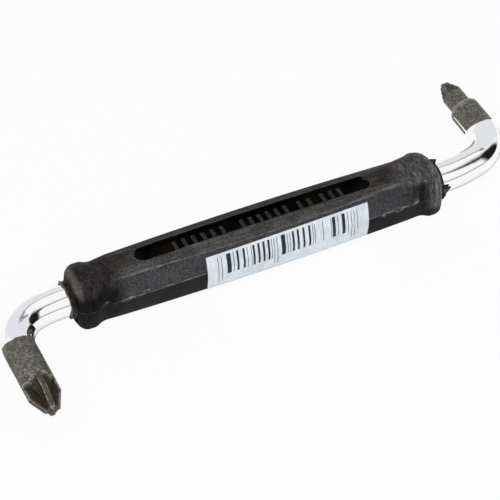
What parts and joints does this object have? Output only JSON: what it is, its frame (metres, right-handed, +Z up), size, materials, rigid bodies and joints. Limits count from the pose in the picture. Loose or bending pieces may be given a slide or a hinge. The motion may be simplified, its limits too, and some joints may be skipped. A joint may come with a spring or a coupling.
{
  "type": "offset screwdriver",
  "caption": "Z-bent offset screwdriver: a round steel bar with a large and a small Pozidriv blade at opposite right angles, and a moulded grip with a paper label.",
  "frame": {"origin": "under the middle of the whole length and width, on the plane that the collars of the grip rest on", "axes": "+X along the grip towards the small PZ1 blade, +Y the way that the PZ1 blade points (the PZ2 blade points along -Y), +Z up through the recessed face of the grip"},
  "size_m": [0.1082, 0.0468, 0.0115],
  "materials": {
    "chrome": "bright plated steel, with both blades left dark and blasted",
    "grip_plastic": "satin moulded, lightly scuffed",
    "label_paper": "matt printed paper"
  },
  "bodies": {
    "root": {"steel_bar": "chrome", "grip": "grip_plastic", "barcode_label": "label_paper"}
  },
  "joints": []
}
